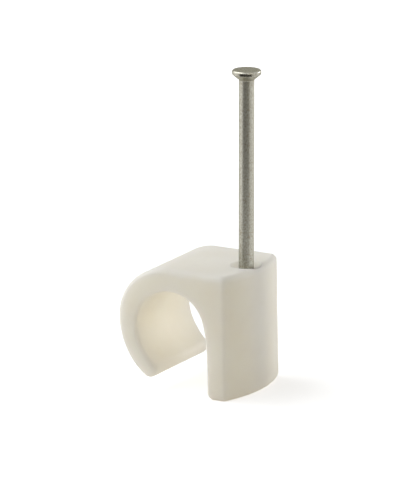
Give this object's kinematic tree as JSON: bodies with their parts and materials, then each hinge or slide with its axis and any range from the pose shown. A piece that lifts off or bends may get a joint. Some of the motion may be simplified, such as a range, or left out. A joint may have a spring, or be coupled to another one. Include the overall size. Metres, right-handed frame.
{
  "type": "nail-in cable clip",
  "caption": "Moulded plastic cable clip with a round seat open towards the wall, and a steel nail standing in its leg that is driven in to fix the clip over a round cable.",
  "frame": {"origin": "on the nail's axis, in the plane of the wall that the foot of the leg stands on", "axes": "+X from the hook to the leg, +Y along the cable, +Z away from the wall along the nail"},
  "size_m": [0.0173, 0.0152, 0.043],
  "materials": {
    "clip_plastic": "satin, slightly translucent cream",
    "nail_steel": "dull mottled zinc plating"
  },
  "bodies": {
    "clip": {"clip_body": "clip_plastic"},
    "nail": {"nail": "nail_steel"}
  },
  "joints": [
    {"name": "nail_drive", "type": "slide", "parent": "clip", "child": "nail", "axis": [0, 0, -1], "range_m": [0, 0.0253]}
  ]
}
